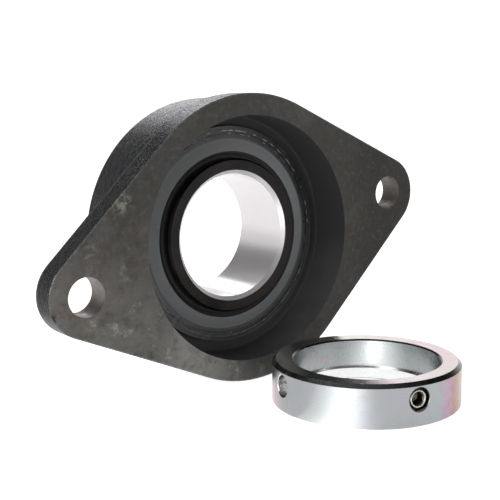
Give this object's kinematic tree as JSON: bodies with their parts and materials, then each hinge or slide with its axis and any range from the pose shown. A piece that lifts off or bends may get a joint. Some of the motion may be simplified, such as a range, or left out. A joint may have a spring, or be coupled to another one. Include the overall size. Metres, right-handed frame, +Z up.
{
  "type": "flange mount bearing",
  "caption": "Rhombic cast flange housing with a self-aligning sealed ball bearing insert, shown with its eccentric locking collar lying loose in front.",
  "frame": {"origin": "where the bore axis meets the mounting face", "axes": "+Y along the bore from the mounting face into the boss, +Z up, +X to the right seen from the mounting face"},
  "size_m": [0.1766, 0.124, 0.1136],
  "materials": {
    "cast_housing": "black painted sand casting, machined mounting face",
    "ring_steel": "dark oiled turned steel",
    "ground_steel": "ground and polished bore",
    "cage_plastic": "natural moulded polyamide",
    "ball_steel": "polished",
    "seal_sheet": "satin sheet steel",
    "seal_rubber": "matt",
    "plated_steel": "bright zinc plate, faint iridescence",
    "dark_screw": "dark oiled steel"
  },
  "bodies": {
    "housing_body": {"housing": "cast_housing"},
    "outer_ring_body": {"outer_ring": "ring_steel", "rear_seal_plate": "seal_sheet", "rear_seal_lip": "seal_rubber", "rear_seal_backing": "seal_sheet", "front_seal_plate": "seal_sheet", "front_seal_lip": "seal_rubber", "front_seal_backing": "seal_sheet"},
    "inner_ring_body": {"inner_ring": "ground_steel"},
    "cage_body": {"ball_cage": "cage_plastic"},
    "ball_01_body": {"ball_01": "ball_steel"},
    "ball_02_body": {"ball_02": "ball_steel"},
    "ball_03_body": {"ball_03": "ball_steel"},
    "ball_04_body": {"ball_04": "ball_steel"},
    "ball_05_body": {"ball_05": "ball_steel"},
    "ball_06_body": {"ball_06": "ball_steel"},
    "ball_07_body": {"ball_07": "ball_steel"},
    "ball_08_body": {"ball_08": "ball_steel"},
    "ball_09_body": {"ball_09": "ball_steel"},
    "ball_10_body": {"ball_10": "ball_steel"},
    "collar_body": {"locking_collar": "plated_steel"},
    "screw_body": {"set_screw": "dark_screw"}
  },
  "joints": [
    {"name": "insert_tilt", "type": "hinge", "parent": "housing_body", "child": "outer_ring_body", "pos_m": [0, 0.0264, 0], "axis": [1, 0, 0], "range_deg": [-2.5, 2.5]},
    {"name": "shaft_spin", "type": "hinge", "parent": "outer_ring_body", "child": "inner_ring_body", "pos_m": [0, 0.0264, 0], "axis": [0, 1, 0], "continuous": true},
    {"name": "cage_orbit", "type": "hinge", "parent": "outer_ring_body", "child": "cage_body", "pos_m": [0, 0.0264, 0], "axis": [0, 1, 0], "continuous": true},
    {"name": "ball_01_spin", "type": "hinge", "parent": "cage_body", "child": "ball_01_body", "pos_m": [0.035, 0.0264, 0], "axis": [0, 1, 0], "continuous": true},
    {"name": "ball_02_spin", "type": "hinge", "parent": "cage_body", "child": "ball_02_body", "pos_m": [0.02832, 0.0264, -0.02057], "axis": [0, 1, 0], "continuous": true},
    {"name": "ball_03_spin", "type": "hinge", "parent": "cage_body", "child": "ball_03_body", "pos_m": [0.01082, 0.0264, -0.03329], "axis": [0, 1, 0], "continuous": true},
    {"name": "ball_04_spin", "type": "hinge", "parent": "cage_body", "child": "ball_04_body", "pos_m": [-0.01082, 0.0264, -0.03329], "axis": [0, 1, 0], "continuous": true},
    {"name": "ball_05_spin", "type": "hinge", "parent": "cage_body", "child": "ball_05_body", "pos_m": [-0.02832, 0.0264, -0.02057], "axis": [0, 1, 0], "continuous": true},
    {"name": "ball_06_spin", "type": "hinge", "parent": "cage_body", "child": "ball_06_body", "pos_m": [-0.035, 0.0264, 0], "axis": [0, 1, 0], "continuous": true},
    {"name": "ball_07_spin", "type": "hinge", "parent": "cage_body", "child": "ball_07_body", "pos_m": [-0.02832, 0.0264, 0.02057], "axis": [0, 1, 0], "continuous": true},
    {"name": "ball_08_spin", "type": "hinge", "parent": "cage_body", "child": "ball_08_body", "pos_m": [-0.01082, 0.0264, 0.03329], "axis": [0, 1, 0], "continuous": true},
    {"name": "ball_09_spin", "type": "hinge", "parent": "cage_body", "child": "ball_09_body", "pos_m": [0.01082, 0.0264, 0.03329], "axis": [0, 1, 0], "continuous": true},
    {"name": "ball_10_spin", "type": "hinge", "parent": "cage_body", "child": "ball_10_body", "pos_m": [0.02832, 0.0264, 0.02057], "axis": [0, 1, 0], "continuous": true},
    {"name": "collar_lift", "type": "slide", "parent": "housing_body", "child": "collar_body", "axis": [0, 0, 1], "range_m": [0, 0.12]},
    {"name": "screw_travel", "type": "slide", "parent": "collar_body", "child": "screw_body", "axis": [-0.2215, -0.9751, 0], "range_m": [-0.003, 0.004]}
  ],
  "couplings": [
    {"joint": "cage_orbit", "follows": "shaft_spin", "ratio": 0.4093},
    {"joint": "ball_01_spin", "follows": "shaft_spin", "ratio": -2.6654},
    {"joint": "ball_02_spin", "follows": "shaft_spin", "ratio": -2.6654},
    {"joint": "ball_03_spin", "follows": "shaft_spin", "ratio": -2.6654},
    {"joint": "ball_04_spin", "follows": "shaft_spin", "ratio": -2.6654},
    {"joint": "ball_05_spin", "follows": "shaft_spin", "ratio": -2.6654},
    {"joint": "ball_06_spin", "follows": "shaft_spin", "ratio": -2.6654},
    {"joint": "ball_07_spin", "follows": "shaft_spin", "ratio": -2.6654},
    {"joint": "ball_08_spin", "follows": "shaft_spin", "ratio": -2.6654},
    {"joint": "ball_09_spin", "follows": "shaft_spin", "ratio": -2.6654},
    {"joint": "ball_10_spin", "follows": "shaft_spin", "ratio": -2.6654}
  ]
}
